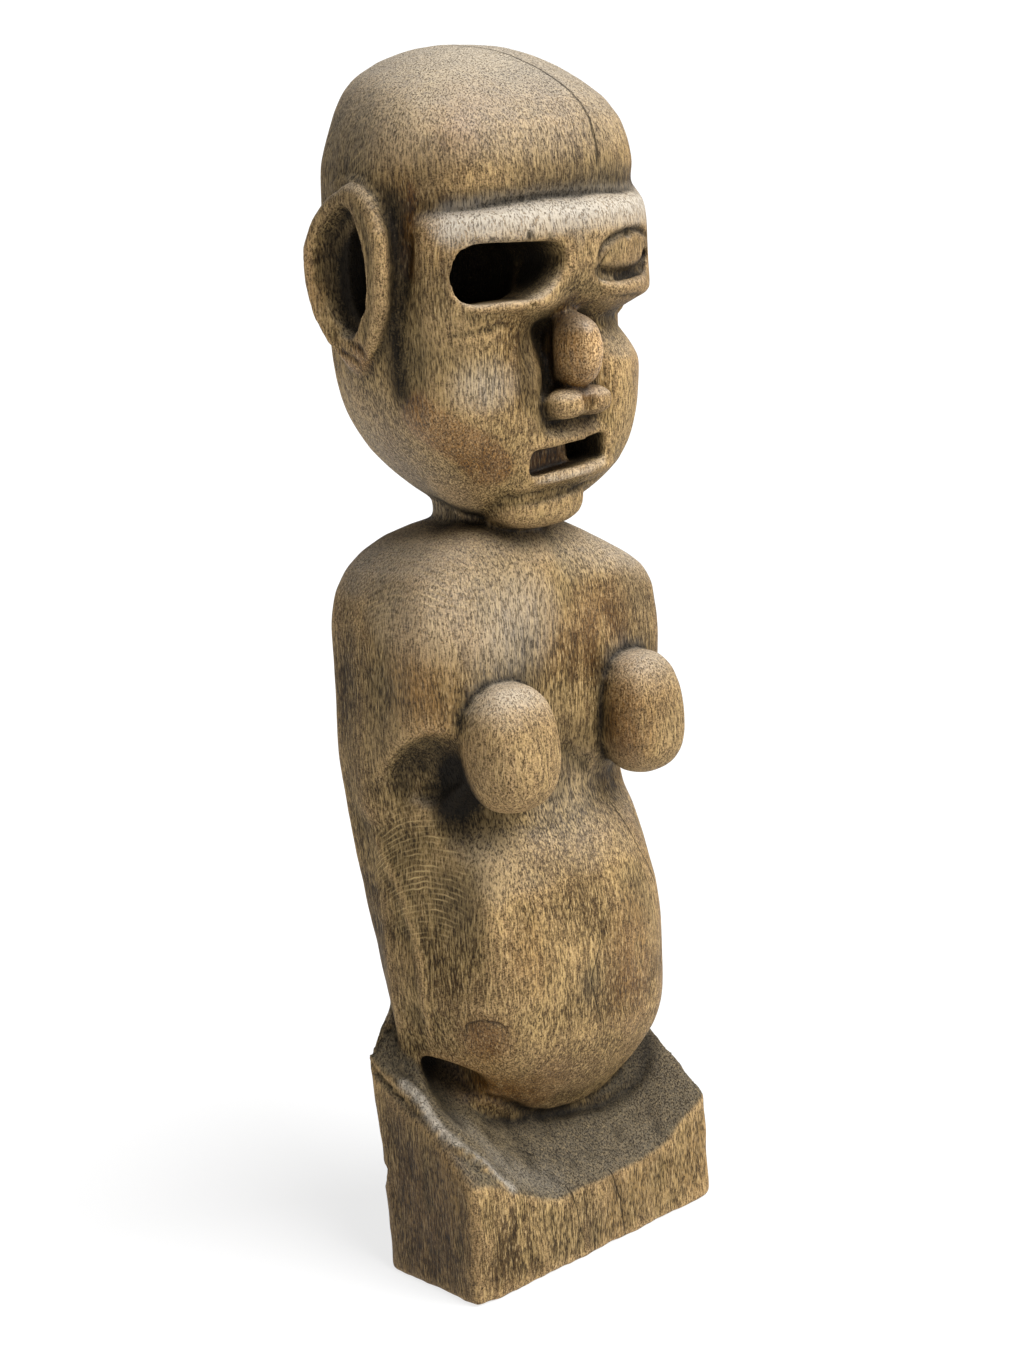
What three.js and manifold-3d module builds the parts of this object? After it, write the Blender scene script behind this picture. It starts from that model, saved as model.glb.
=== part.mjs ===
// A standing female figure carved from one log, with a block left at its foot as its base.
// Millimetres, +Z up. The figure faces -Y, and +X is its own left side.
// The origin is on the underside, below the middle of the figure.

import * as THREE from 'three';
import { LoftGeometry } from 'three/addons/geometries/LoftGeometry.js';
import { mergeVertices } from 'three/addons/utils/BufferGeometryUtils.js';
import Module from 'manifold-3d';

const wasm = await Module();
wasm.setup();

// Heights of the main forms above the underside
const CROWN_TOP = 450;
const SKULL_SPRING = 400;
const BROW_GROOVE = 397.5;
const BROW_EDGE = 389;
const LID_FOLD = 354.5;
const CHEEK_HEIGHT = 327;
const JAW_SPRING = 345;
const JAW_BOTTOM = 284;
const SHOULDER_TOP = 284;
const SHOULDER_SPRING = 238;
const CHEST_EDGE = 192;
const WAIST_HEIGHT = 181;
const HOLLOW_HEIGHT = 198;
const BELLY_HEIGHT = 122;
const BODY_FOOT = 52;

// Head in plan: half width, and how far it reaches forward and back of its own axis
const HEAD_AXIS_Y = 4;
const CROWN_LEAN = 11;
const HEAD_HALF_WIDTH = 57;
const HEAD_FRONT = 45;
const HEAD_BACK = 47;
const HEAD_FRONT_SQUARENESS = 2.3;
const HEAD_BACK_SQUARENESS = 2.8;
const SKULL_ROUNDNESS = 2.25;
const JAW_ROUNDNESS = 1.95;
const JAW_SHIFT = 2.5;

// Carving of the face
const CHANNEL_DEPTH = 4.5;
const CHANNEL_Y = -12.5;
const LEFT_EYE_DEPTH = 3.5;
const BROW_RISE = 4;
const BROW_TILT = 0.045;
const BROW_GROOVE_DEPTH = 2;
const LID_FOLD_DEPTH = 10;
const CHEEK_RISE = 1.5;
const NOSE_HOLLOW_DEPTH = 8;
const NOSE_HOLLOW_HALF_WIDTH = 15;
const LIP_HEIGHT = 300.5;
const LIP_RISE = 3.2;
const UPPER_LIP_HEIGHT = 318;
const UPPER_LIP_RISE = 2.2;
const LIP_CREASE = 295.5;
const LIP_CREASE_DEPTH = 1.5;
const NOSE_X = 1.5;
const BRIDGE_HALF_WIDTH = 11;
const MOUTH_TILT = 0.085;
const MOUTH_PIVOT_X = 17.5;

// Trunk in plan, from its own axis
const TRUNK_AXIS_Y = 7;
const CHEST_HALF_WIDTH = 62;
const NECK_HALF_WIDTH = 23.5;
const FAR_SHOULDER_DROP = 9;
const CHEST_SHIFT = 2;
const NEAR_SHOULDER_ROUNDNESS = 2.9;
const FAR_SHOULDER_ROUNDNESS = 2.2;
const NECK_AXIS_Y = 9;
const BREAST_HEIGHT = 206;
const NEAR_BREAST = { x: -31.8, halfWidth: 17.8 };
const FAR_BREAST = { x: 34.3, halfWidth: 15.9 };
const BACK_SQUARENESS = 5;
const BELLY_SHIFT = 9.5;
const FLANK_X = 57;
const FLANK_SLOPE = 0.43;
const RIDGE_TOP = 172;
const RIDGE_TOP_Y = 17.8;
const RIDGE_FOOT = 78;
const RIDGE_FOOT_Y = -1;

// Base block
const BASE_WIDTH = 127;
const BASE_FRONT_Y = -27;
const BASE_BACK_Y = 25;
const BASE_FLARE_Y = 31;
const BASE_FRONT_HEIGHT = 29;
const BASE_BACK_HEIGHT = 84;
const NEAR_END_RISE = 18;
const FAR_END_RISE = 14;
const FAR_END_DROP = 4;
const NEAR_BACK_RIDGE = 18;

// Ears and openings
const EAR_SIDES = 16;
const EYE_INNER_X = 7;
const EYE_OUTER_X = 43;
const RIGHT_EYE_OUTER_X = 47;
const EYE_TOP = 382.5;
const EYE_BOTTOM = 363;
const MOUTH_HEIGHT = 308.5;
const MOUTH_WIDTH = 35;
const MOUTH_OPENING = 9.5;
const MOUTH_DEPTH = 34;
const THROAT_DEPTH = 48;
const THROAT_X = 6;
const EYE_CUT_DEPTH = 50;
const CUT_FRONT_Y = -60;

const clamp01 = (t) => Math.min(1, Math.max(0, t));
const mix = (a, b, t) => a + (b - a) * t;

// 0 below the first edge, 1 above the second, with a smooth rise between; the edges may run downwards
function ramp(value, from, to) {
  const t = clamp01((value - from) / (to - from));
  return t * t * (3 - 2 * t);
}

// A smooth hump of height 1 at the centre that is gone at about twice the spread
function hump(value, centre, spread) {
  return Math.exp(-(((value - centre) / spread) ** 2));
}

// A smooth curve through a few [height, value] pairs, without overshoot
function profile(pairs) {
  const last = pairs.length - 1;
  const slopes = pairs.map((pair, i) => {
    if (i === 0 || i === last) return 0;
    const before = (pair[1] - pairs[i - 1][1]) / (pair[0] - pairs[i - 1][0]);
    const after = (pairs[i + 1][1] - pair[1]) / (pairs[i + 1][0] - pair[0]);
    return before * after <= 0 ? 0 : (2 * before * after) / (before + after);
  });
  return (height) => {
    if (height <= pairs[0][0]) return pairs[0][1];
    if (height >= pairs[last][0]) return pairs[last][1];
    const i = pairs.findIndex((pair) => pair[0] > height) - 1;
    const span = pairs[i + 1][0] - pairs[i][0];
    const t = (height - pairs[i][0]) / span;
    const rest = 1 - t;
    return pairs[i][1] * (1 + 2 * t) * rest * rest + slopes[i] * span * t * rest * rest
      + pairs[i + 1][1] * t * t * (3 - 2 * t) - slopes[i + 1] * span * t * t * rest;
  };
}

// The share of full width left at t along a rounded end, where t runs from 0 to 1
const rounded = (t, roundness) => (1 - clamp01(t) ** roundness) ** (1 / roundness);

// Heights from the first to the last, closer together inside the fine bands
function levels(first, last, step, fineBands) {
  const heights = [first];
  const direction = Math.sign(last - first);
  while ((last - heights.at(-1)) * direction > 0) {
    const height = heights.at(-1);
    const band = fineBands.find(([low, high]) => height >= low && height <= high);
    heights.push(height + direction * (band ? band[2] : step));
  }
  heights[heights.length - 1] = last;
  return heights;
}

// Directions around a section: 0 faces forward, and the front half has more of them than the back
function directions(frontCount, backCount, frontReach) {
  const angles = [];
  for (let i = 0; i < frontCount; i++) angles.push(mix(-frontReach, frontReach, i / frontCount));
  for (let i = 0; i < backCount; i++) angles.push(mix(frontReach, 2 * Math.PI - frontReach, i / backCount));
  return angles;
}

// Distance from the axis to a squared oval, in one direction
function squaredOval(angle, halfWidth, reach, squareness) {
  const across = Math.abs(Math.sin(angle)) / halfWidth;
  const along = Math.abs(Math.cos(angle)) / reach;
  return (across ** squareness + along ** squareness) ** (-1 / squareness);
}

function toSolid(geometry) {
  const bare = new THREE.BufferGeometry();
  bare.setAttribute('position', geometry.attributes.position);
  bare.setIndex(geometry.index);
  const merged = mergeVertices(bare, 1e-4);
  return new wasm.Manifold(new wasm.Mesh({
    numProp: 3,
    vertProperties: new Float32Array(merged.attributes.position.array),
    triVerts: new Uint32Array(merged.index.array),
  }));
}

// An egg, bead or rounded block: a sphere made squarer, stretched to its three half sizes, tipped
// forwards or backwards, and put in its place. At a squareness of 2 it stays an egg.
function egg(centre, halfSizes, { squareness = 2, tip = 0, segments = 14, rings = 9 } = {}) {
  const geometry = new THREE.SphereGeometry(1, segments, rings);
  geometry.rotateX(Math.PI / 2);
  const places = geometry.attributes.position;
  const place = new THREE.Vector3();
  for (let i = 0; i < places.count; i++) {
    place.fromBufferAttribute(places, i);
    const powers = place.toArray().map((part) => Math.abs(part) ** squareness);
    place.multiplyScalar((powers[0] + powers[1] + powers[2]) ** (-1 / squareness));
    places.setXYZ(i, place.x, place.y, place.z);
  }
  geometry.scale(...halfSizes);
  geometry.rotateX(tip);
  geometry.translate(...centre);
  return toSolid(geometry);
}

// A slab with an outline in the XZ plane that runs back from in front of the face
function slab(outline, depth, curveSegments = 4) {
  const geometry = new THREE.ExtrudeGeometry(outline, { depth, bevelEnabled: false, curveSegments });
  geometry.rotateX(Math.PI / 2);
  geometry.translate(0, CUT_FRONT_Y + depth, 0);
  return toSolid(geometry);
}

// How the face is carved: millimetres outwards from the plain head at a place on its front
function faceRelief(x, z) {
  const side = Math.abs(x);
  const grooveHeight = BROW_GROOVE + BROW_TILT * x;
  const mouthDrop = MOUTH_TILT * (x - MOUTH_PIVOT_X);
  const nearCheek = ramp(-x, 26, 42);
  const bridge = hump(x, NOSE_X - 1, BRIDGE_HALF_WIDTH);
  const lidFoot = mix(ramp(z, LID_FOLD - 0.5, LID_FOLD + 4), ramp(z, 346, 372), bridge);
  const bandFoot = Math.max(lidFoot, nearCheek * ramp(z, JAW_BOTTOM + 20, 328));
  const band = BROW_RISE * ramp(z, grooveHeight + 1, BROW_EDGE) * bandFoot * ramp(-x, 60, 46);
  const groove = BROW_GROOVE_DEPTH * hump(z, grooveHeight, 3.2);
  const foldReach = x < 0 ? ramp(side, 34, 14) : 1;
  const foldTop = mix(ramp(z, LID_FOLD + 3, LID_FOLD - 0.5), ramp(z, 375, 346), bridge);
  const fold = LID_FOLD_DEPTH * foldReach * foldTop * ramp(z, CHEEK_HEIGHT + 8, LID_FOLD - 2);
  const cheek = CHEEK_RISE * hump(z, CHEEK_HEIGHT, 17) * hump(side, 38, 15);
  const noseFrame = ramp(z, 312, 322) * ramp(z, LID_FOLD + mix(4, 12, bridge), LID_FOLD - mix(3, 9, bridge));
  const fromNose = Math.abs(x - NOSE_X);
  const noseHollow = NOSE_HOLLOW_DEPTH * ramp(fromNose, NOSE_HOLLOW_HALF_WIDTH + 8, 9) * noseFrame;
  const lip = LIP_RISE * hump(z, LIP_HEIGHT + mouthDrop, 3.2) * ramp(side, 26, 18);
  const upperLip = UPPER_LIP_RISE * hump(z, UPPER_LIP_HEIGHT, 4.5) * hump(x, NOSE_X, 11);
  const lipCrease = LIP_CREASE_DEPTH * hump(z, LIP_CREASE + mouthDrop, 1.8) * ramp(side, 30, 20);
  return band - groove - fold + cheek - noseHollow + lip + upperLip - lipCrease;
}

// A channel down each side of the head, in front of the ear
function templeChannel(y, z) {
  const along = ramp(z, 326, 350) * ramp(z, 418, 388);
  return CHANNEL_DEPTH * hump(y, CHANNEL_Y, 4) * along;
}

// The head's sections from the crown down; an inset gives the same head that much smaller
function headSections(inset = 0) {
  const angles = directions(33, 11, 1.5);
  const skullHeights = [450, 448.6, 445.5, 441, 435.5, 429, 421.5, 413.5, 406];
  const faceHeights = levels(401, 300, 6.1, [[393, 401.1, 2.4], [350, 360, 1.9], [294, 306, 2.4]]);
  const jawHeights = [296.5, 293.5, 290.5, 288, 286, 284.7, JAW_BOTTOM];
  const chinReach = profile([[JAW_BOTTOM, 0.74], [293, 0.8], [300, 0.9], [312, 0.92], [332, 0.92], [356, 1]]);
  return [...skullHeights, ...faceHeights, ...jawHeights].map((z) => {
    const skull = rounded((z - SKULL_SPRING) / (CROWN_TOP + 0.35 - SKULL_SPRING), SKULL_ROUNDNESS);
    const jaw = rounded((JAW_SPRING - z) / (JAW_SPRING - JAW_BOTTOM + 0.6), JAW_ROUNDNESS);
    const jawFront = rounded((JAW_SPRING - z) / (JAW_SPRING - JAW_BOTTOM + 0.6), 3.4);
    const axisY = HEAD_AXIS_Y + CROWN_LEAN * ramp(z, 420, CROWN_TOP);
    return angles.map((angle) => {
      const facing = ramp(Math.cos(angle), -0.25, 0.35);
      const front = HEAD_FRONT * jawFront * chinReach(z);
      const reach = Math.cos(angle) > 0 ? front : HEAD_BACK * jaw;
      const squareness = mix(HEAD_BACK_SQUARENESS, HEAD_FRONT_SQUARENESS, facing);
      const halfWidth = HEAD_HALF_WIDTH * mix(jaw, jawFront, 0.4 * facing);
      const plain = squaredOval(angle, halfWidth * skull, reach * skull, squareness);
      const carving = faceRelief(plain * Math.sin(angle), z) * ramp(Math.cos(angle), 0.12, 0.45);
      const radius = Math.max(plain + carving - inset, 1);
      const y = axisY - radius * Math.cos(angle);
      let x = radius * Math.sin(angle) + JAW_SHIFT * ramp(z, 326, 298);
      x -= Math.sign(x) * templeChannel(y, z);
      return new THREE.Vector3(x, y, z);
    });
  });
}

// Sections are listed from the top down, so each is turned round to face outwards
function loftDown(sections) {
  const upwards = sections.slice().reverse();
  return toSolid(new LoftGeometry(upwards, { capStart: true, capEnd: true }));
}

// How far the right side may reach: its flank is planed off in front of a ridge that comes forward
// as it runs down, and above and below that nothing is cut
function flankReach(y, z) {
  const ridgeY = mix(RIDGE_FOOT_Y, RIDGE_TOP_Y, (z - RIDGE_FOOT) / (RIDGE_TOP - RIDGE_FOOT));
  const planedReach = FLANK_X - FLANK_SLOPE * Math.max(0, ridgeY - y);
  const planed = ramp(z, RIDGE_TOP + 14, RIDGE_TOP) * ramp(z, RIDGE_FOOT - 14, RIDGE_FOOT);
  return mix(BASE_WIDTH / 2, planedReach, planed);
}

function trunkSections() {
  const angles = directions(24, 11, 1.5);
  const heights = [283.6, 282, 278.5, 274, 268, 260, 250, 238, 224, 212, 204, 199, 195, 191.5, 187.5,
    181, 173, 163, 150, 136, 122, 109, 97, 87, 78, 71, 65, 59.5, BODY_FOOT];
  const sideWidth = profile([[BODY_FOOT, 51], [100, 56], [150, 59], [WAIST_HEIGHT, 60.5],
    [BREAST_HEIGHT + 9, CHEST_HALF_WIDTH]]);
  const frontWidth = profile([[BODY_FOOT, 28], [64, 38], [85, 51], [BELLY_HEIGHT, 55], [155, 53],
    [WAIST_HEIGHT, 43], [CHEST_EDGE + 6, 58], [BREAST_HEIGHT + 9, CHEST_HALF_WIDTH]]);
  const frontReach = profile([[BODY_FOOT, 13], [60, 21], [70, 29], [87, 36], [BELLY_HEIGHT, 39], [155, 35],
    [WAIST_HEIGHT, 26], [CHEST_EDGE + 6, 28], [215, 30], [SHOULDER_SPRING, 30]]);
  const backReach = profile([[BODY_FOOT, 12], [70, 20], [88, 26], [105, 29.5], [150, 36], [190, 42],
    [SHOULDER_SPRING, 43]]);
  const frontSquareness = profile([[BODY_FOOT, 2.1], [BELLY_HEIGHT, 3], [WAIST_HEIGHT, 2.1],
    [CHEST_EDGE + 6, 3.6], [SHOULDER_SPRING, 4.2]]);
  return heights.map((z) => {
    const climb = (z - SHOULDER_SPRING) / (SHOULDER_TOP + 0.5 - SHOULDER_SPRING);
    const bellyShift = BELLY_SHIFT * ramp(z, 122, 66);
    const chestShift = CHEST_SHIFT * ramp(z, 196, 230);
    return angles.map((angle) => {
      const facing = ramp(Math.cos(angle), -0.3, 0.45);
      const halfWidth = mix(sideWidth(z), frontWidth(z), facing);
      const reach = Math.cos(angle) > 0 ? frontReach(z) : backReach(z);
      const squareness = mix(BACK_SQUARENESS, frontSquareness(z), facing);
      const farSide = ramp(Math.sin(angle), -0.3, 0.3);
      const shoulder = rounded(climb, mix(NEAR_SHOULDER_ROUNDNESS, FAR_SHOULDER_ROUNDNESS, farSide));
      const radius = squaredOval(angle, halfWidth * shoulder, reach * shoulder, squareness);
      const x = radius * Math.sin(angle) + bellyShift * facing + chestShift;
      const y = TRUNK_AXIS_Y - radius * Math.cos(angle);
      const drop = FAR_SHOULDER_DROP * ramp(x, 0, 50) * ramp(z, 246, SHOULDER_TOP);
      return new THREE.Vector3(Math.max(x, -flankReach(y, z)), y, z - drop);
    });
  });
}

function neckSections() {
  const angles = directions(11, 9, Math.PI / 2);
  const halfWidth = profile([[262, NECK_HALF_WIDTH + 12], [277, NECK_HALF_WIDTH + 3], [286, NECK_HALF_WIDTH],
    [305, NECK_HALF_WIDTH + 3]]);
  return [305, 296, 290, 286, 281, 276, 270, 262].map((z) => angles.map((angle) => {
    const reach = Math.cos(angle) > 0 ? NECK_HALF_WIDTH * 0.72 : halfWidth(z) * 0.8;
    const radius = squaredOval(angle, halfWidth(z), reach, 2.3);
    return new THREE.Vector3(radius * Math.sin(angle), NECK_AXIS_Y - radius * Math.cos(angle), z);
  }));
}

// The base block is made of upright slices along X, so that its hollowed top can change from end to end
function baseSections() {
  const half = BASE_WIDTH / 2;
  const topPoints = 8;
  const stations = [-1, -0.98, -0.9, -0.78, -0.6, -0.35, 0, 0.35, 0.6, 0.78, 0.9, 0.98, 1];
  return stations.map((station) => {
    const nearEnd = ramp(station, -0.3, -0.98);
    const farEnd = ramp(station, 0.45, 1);
    const front = BASE_FRONT_HEIGHT + NEAR_END_RISE * nearEnd + FAR_END_RISE * farEnd;
    const back = BASE_BACK_HEIGHT + NEAR_BACK_RIDGE * hump(station, -0.76, 0.14) - FAR_END_DROP * farEnd;
    const round = 1.5 * ramp(Math.abs(station), 0.93, 1);
    const x = half * station;
    const slice = [
      new THREE.Vector3(x, BASE_FRONT_Y + round, 0),
      new THREE.Vector3(x, BASE_BACK_Y - round, 0),
      new THREE.Vector3(x, BASE_BACK_Y + 1 - round, 50),
    ];
    for (let i = 0; i < topPoints; i++) {
      const t = i / (topPoints - 1);
      const y = mix(BASE_FLARE_Y - round, BASE_FRONT_Y + round, t);
      const height = mix(front, back, (1 - t) ** mix(1.05, 0.8, Math.max(nearEnd, farEnd)));
      slice.push(new THREE.Vector3(x, y, height));
    }
    return slice;
  });
}

// An ear is a cup that stands out from the side of the head, with a thick rim and a lobe.
// Each ring is the rim's own curve, drawn in towards the middle of the ear and moved outwards. A share
// below 1 draws the front or the foot in further, which leaves the rim broader there.
function earShell(side, shares, outwards, frontShare = 1, footShare = 1) {
  const rim = new THREE.CatmullRomCurve3([
    [-10, 388, 61], [-4, 399, 61.5], [5, 405, 62], [16, 401, 63.2], [25, 391, 64.5], [28, 377, 65.2],
    [25.5, 361, 64.2], [19.5, 347, 61], [12.5, 339.5, 58], [3, 345, 59.5], [-5, 356, 61], [-10, 372, 61.5],
  ].map(([y, z, x]) => new THREE.Vector3(side * x, y, z)), true);
  const middle = new THREE.Vector3(side * 62, 9, 374);
  const points = rim.getPoints(EAR_SIDES).slice(0, EAR_SIDES);
  const rings = shares.map((share, i) => points.map((point) => {
    const drawn = point.clone().lerp(middle, 1 - share);
    if (drawn.y < middle.y) drawn.y = mix(middle.y, drawn.y, frontShare);
    if (drawn.z < middle.z) drawn.z = mix(middle.z, drawn.z, footShare);
    return new THREE.Vector3(mix(point.x, drawn.x, 0.3) + side * outwards[i], drawn.y, drawn.z);
  }));
  return toSolid(new LoftGeometry(side < 0 ? rings : rings.map((ring) => ring.slice().reverse()), {
    capStart: true, capEnd: true,
  }));
}

function ear(side) {
  const cup = earShell(side, [0.78, 0.9, 0.99, 1, 0.93], [-20, -9, -3.5, -0.8, 0.6]);
  const bowl = earShell(side, [0.2, 0.5, 0.68, 0.76, 0.84], [-9, -8, -5.5, -2, 4], 0.62, 0.76);
  return cup.subtract(bowl);
}

const plainHead = loftDown(headSections());

// The edge of the chest overhangs a hollow beside the right breast, which runs down towards the back
const chestHollow = egg([-61, -12, HOLLOW_HEIGHT], [18, 28, 15.5], { tip: -0.5, segments: 12, rings: 8 });
const trunk = loftDown(trunkSections()).subtract(chestHollow);
const neck = loftDown(neckSections());
const base = toSolid(new LoftGeometry(baseSections(), { capStart: true, capEnd: true }));

function roundedOutline(left, right, bottom, top, radius) {
  const outline = new THREE.Shape();
  outline.moveTo(left + radius, bottom);
  outline.lineTo(right - radius, bottom);
  outline.absarc(right - radius, bottom + radius, radius, -Math.PI / 2, 0, false);
  outline.lineTo(right, top - radius);
  outline.absarc(right - radius, top - radius, radius, 0, Math.PI / 2, false);
  outline.lineTo(left + radius, top);
  outline.absarc(left + radius, top - radius, radius, Math.PI / 2, Math.PI, false);
  outline.lineTo(left, bottom + radius);
  outline.absarc(left + radius, bottom + radius, radius, Math.PI, 1.5 * Math.PI, false);
  return outline;
}

let figure = plainHead.add(neck).add(trunk).add(base);
figure = figure.add(ear(-1)).add(ear(1));
const chin = egg([-1.5, -13.5, 290.3], [20, 15, 10.3], { squareness: 2.6 });
const nose = egg([NOSE_X - 0.3, -36, 344], [8.3, 12.2, 13.6], { squareness: 2.3, segments: 12 });
figure = figure.add(chin).add(nose);
for (const side of [-1, 1]) {
  const place = [NOSE_X + side * 6.4, -35, 325.5];
  const nostril = egg(place, [8.4, 8.8, 5.2], { squareness: 2.7, segments: 10, rings: 6 });
  figure = figure.add(nostril);
}
for (const { x, halfWidth } of [NEAR_BREAST, FAR_BREAST]) {
  const shape = { squareness: 2.7, tip: -0.12, segments: 16, rings: 10 };
  figure = figure.add(egg([x, -27, BREAST_HEIGHT], [halfWidth, 15.5, 23.3], shape));
}

// Below the right hip the gouge went in between the belly and the outer ridge of the block
const hipHollow = egg([-44, -3, 72], [11, 26, 8.5], { tip: 0.62, segments: 12, rings: 8 });
figure = figure.subtract(hipHollow);

// The right eye is a deep hole that meets the hole of the ear, with its lower inner corner cut off
const eyeHole = new THREE.Shape();
eyeHole.moveTo(-RIGHT_EYE_OUTER_X + 6, EYE_BOTTOM);
eyeHole.lineTo(-EYE_INNER_X - 14, EYE_BOTTOM);
eyeHole.quadraticCurveTo(-EYE_INNER_X - 2, EYE_BOTTOM + 4, -EYE_INNER_X, EYE_BOTTOM + 12);
eyeHole.quadraticCurveTo(-EYE_INNER_X + 0.5, EYE_TOP - 1, -EYE_INNER_X - 7, EYE_TOP - 0.5);
eyeHole.lineTo(-RIGHT_EYE_OUTER_X + 8, EYE_TOP + 0.5);
eyeHole.quadraticCurveTo(-RIGHT_EYE_OUTER_X, EYE_TOP, -RIGHT_EYE_OUTER_X, EYE_BOTTOM + 9);
eyeHole.quadraticCurveTo(-RIGHT_EYE_OUTER_X, EYE_BOTTOM + 1, -RIGHT_EYE_OUTER_X + 6, EYE_BOTTOM);
const headHollow = egg([-27, 0, 372], [24, 27, 18], { squareness: 2.4, segments: 12, rings: 8 });
const earHollow = egg([-54, 6, 375], [20, 8.5, 17], { segments: 12, rings: 8 });
figure = figure.subtract(slab(eyeHole, EYE_CUT_DEPTH)).subtract(headHollow).subtract(earHollow);

// The left eye is a shallow almond, with the eyeball left standing in it
const leftEyeMiddle = (EYE_INNER_X + EYE_OUTER_X) / 2 + 3;
const almond = new THREE.Shape();
almond.moveTo(EYE_INNER_X + 1, EYE_TOP - 12);
almond.quadraticCurveTo(EYE_INNER_X + 2, EYE_TOP - 5, leftEyeMiddle - 2, EYE_TOP);
almond.quadraticCurveTo(leftEyeMiddle + 15, EYE_TOP, leftEyeMiddle + 16.5, EYE_TOP - 9);
almond.quadraticCurveTo(leftEyeMiddle + 12, EYE_TOP - 16, leftEyeMiddle, EYE_TOP - 15.5);
almond.quadraticCurveTo(EYE_INNER_X + 4, EYE_TOP - 16, EYE_INNER_X + 1, EYE_TOP - 12);
const eyeball = new THREE.Shape();
eyeball.moveTo(EYE_INNER_X + 3.5, EYE_TOP - 10.8);
eyeball.quadraticCurveTo(EYE_INNER_X + 9, EYE_TOP - 2.6, leftEyeMiddle, EYE_TOP - 1.6);
eyeball.quadraticCurveTo(leftEyeMiddle + 13, EYE_TOP - 1.4, leftEyeMiddle + 14, EYE_TOP - 7.5);
eyeball.quadraticCurveTo(leftEyeMiddle + 11, EYE_TOP - 11.8, leftEyeMiddle, EYE_TOP - 12.2);
eyeball.quadraticCurveTo(EYE_INNER_X + 8, EYE_TOP - 12.6, EYE_INNER_X + 3.5, EYE_TOP - 10.8);
const recessFloor = loftDown(headSections(LEFT_EYE_DEPTH));
const eyeballFront = slab(eyeball, EYE_CUT_DEPTH, 8).intersect(loftDown(headSections(1)));
figure = figure.subtract(slab(almond, EYE_CUT_DEPTH, 5).subtract(recessFloor)).add(eyeballFront);

// The mouth slants down to the right corner, and is deeper towards the left one
function mouthCut(left, depth) {
  const outline = roundedOutline(left, MOUTH_WIDTH / 2, MOUTH_HEIGHT - MOUTH_OPENING / 2,
    MOUTH_HEIGHT + MOUTH_OPENING / 2, 1.2);
  const tilted = slab(outline, depth).translate([-MOUTH_PIVOT_X, 0, -MOUTH_HEIGHT]);
  const degrees = THREE.MathUtils.radToDeg(MOUTH_TILT);
  return tilted.rotate([0, -degrees, 0]).translate([MOUTH_PIVOT_X, 0, MOUTH_HEIGHT]);
}
figure = figure.subtract(mouthCut(-MOUTH_WIDTH / 2, MOUTH_DEPTH)).subtract(mouthCut(THROAT_X, THROAT_DEPTH));

const carved = figure.getMesh();
const geometry = new THREE.BufferGeometry();
geometry.setAttribute('position', new THREE.BufferAttribute(carved.vertProperties, 3));
geometry.setIndex(new THREE.BufferAttribute(carved.triVerts, 1));
geometry.computeVertexNormals();

const weatheredWood = new THREE.MeshStandardMaterial({ color: 0x6e5b40, roughness: 0.68, metalness: 0 });
const figureMesh = new THREE.Mesh(geometry, weatheredWood);
figureMesh.name = 'figure';

const carving = new THREE.Group();
carving.add(figureMesh);

export default carving;
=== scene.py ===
# %% [markdown]
# # A carved female figure, as a lesson in Blender
# The real object is one length of dark hardwood, carved with an adze, a gouge and a knife, and then
# handled, smoked and dusted for many years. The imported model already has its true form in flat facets.
# This notebook gives that form a carved surface and an old wooden finish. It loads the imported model
# first, because every size below is worked out in the same frame, in metres.

import math

import bpy
import numpy as np
from mathutils import Matrix, Vector
from mathutils.bvhtree import BVHTree
from mathutils.kdtree import KDTree


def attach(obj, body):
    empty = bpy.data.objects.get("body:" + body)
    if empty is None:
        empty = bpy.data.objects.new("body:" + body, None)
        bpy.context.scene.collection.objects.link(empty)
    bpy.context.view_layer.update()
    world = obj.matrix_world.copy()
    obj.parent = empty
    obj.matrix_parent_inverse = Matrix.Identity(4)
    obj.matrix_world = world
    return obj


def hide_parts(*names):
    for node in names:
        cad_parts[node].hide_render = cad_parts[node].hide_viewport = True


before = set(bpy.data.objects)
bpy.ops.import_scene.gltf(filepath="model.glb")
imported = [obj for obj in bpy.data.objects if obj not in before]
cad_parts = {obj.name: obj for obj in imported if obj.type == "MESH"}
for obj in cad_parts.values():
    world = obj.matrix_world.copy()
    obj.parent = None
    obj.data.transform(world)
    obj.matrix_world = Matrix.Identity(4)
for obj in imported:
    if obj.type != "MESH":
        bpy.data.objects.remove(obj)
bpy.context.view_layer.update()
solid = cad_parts["figure"]
MM = 0.001

# %% [markdown]
# ## The camera
# A photograph taken from nearby shows a figure whose head looks large and whose sides lean in. The
# camera here stands where the photographer stood: a little higher than the chin, in front of the
# figure's right shoulder, and tipped down. Its place was worked out from the square base block and the
# pairs of eyes and ears, so the model needs no stretching to match.

# %% Camera at the photograph's angle
PHOTO_HEIGHT = 1350
FOCAL_PIXELS = 2340.8
SENSOR = 36.0
CAMERA_PLACE = Vector((-0.5717, -0.6240, 0.41507))
YAW = math.radians(42.15)
PITCH = math.radians(12.77)
ROLL = math.radians(3.5)

level_ahead = Vector((math.sin(YAW), math.cos(YAW), 0))
level_right = Vector((math.cos(YAW), -math.sin(YAW), 0))
straight_up = Vector((0, 0, 1))
ahead = level_ahead * math.cos(PITCH) - straight_up * math.sin(PITCH)
tipped_up = level_ahead * math.sin(PITCH) + straight_up * math.cos(PITCH)
right = level_right * math.cos(ROLL) - tipped_up * math.sin(ROLL)
up = tipped_up * math.cos(ROLL) + level_right * math.sin(ROLL)

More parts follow.
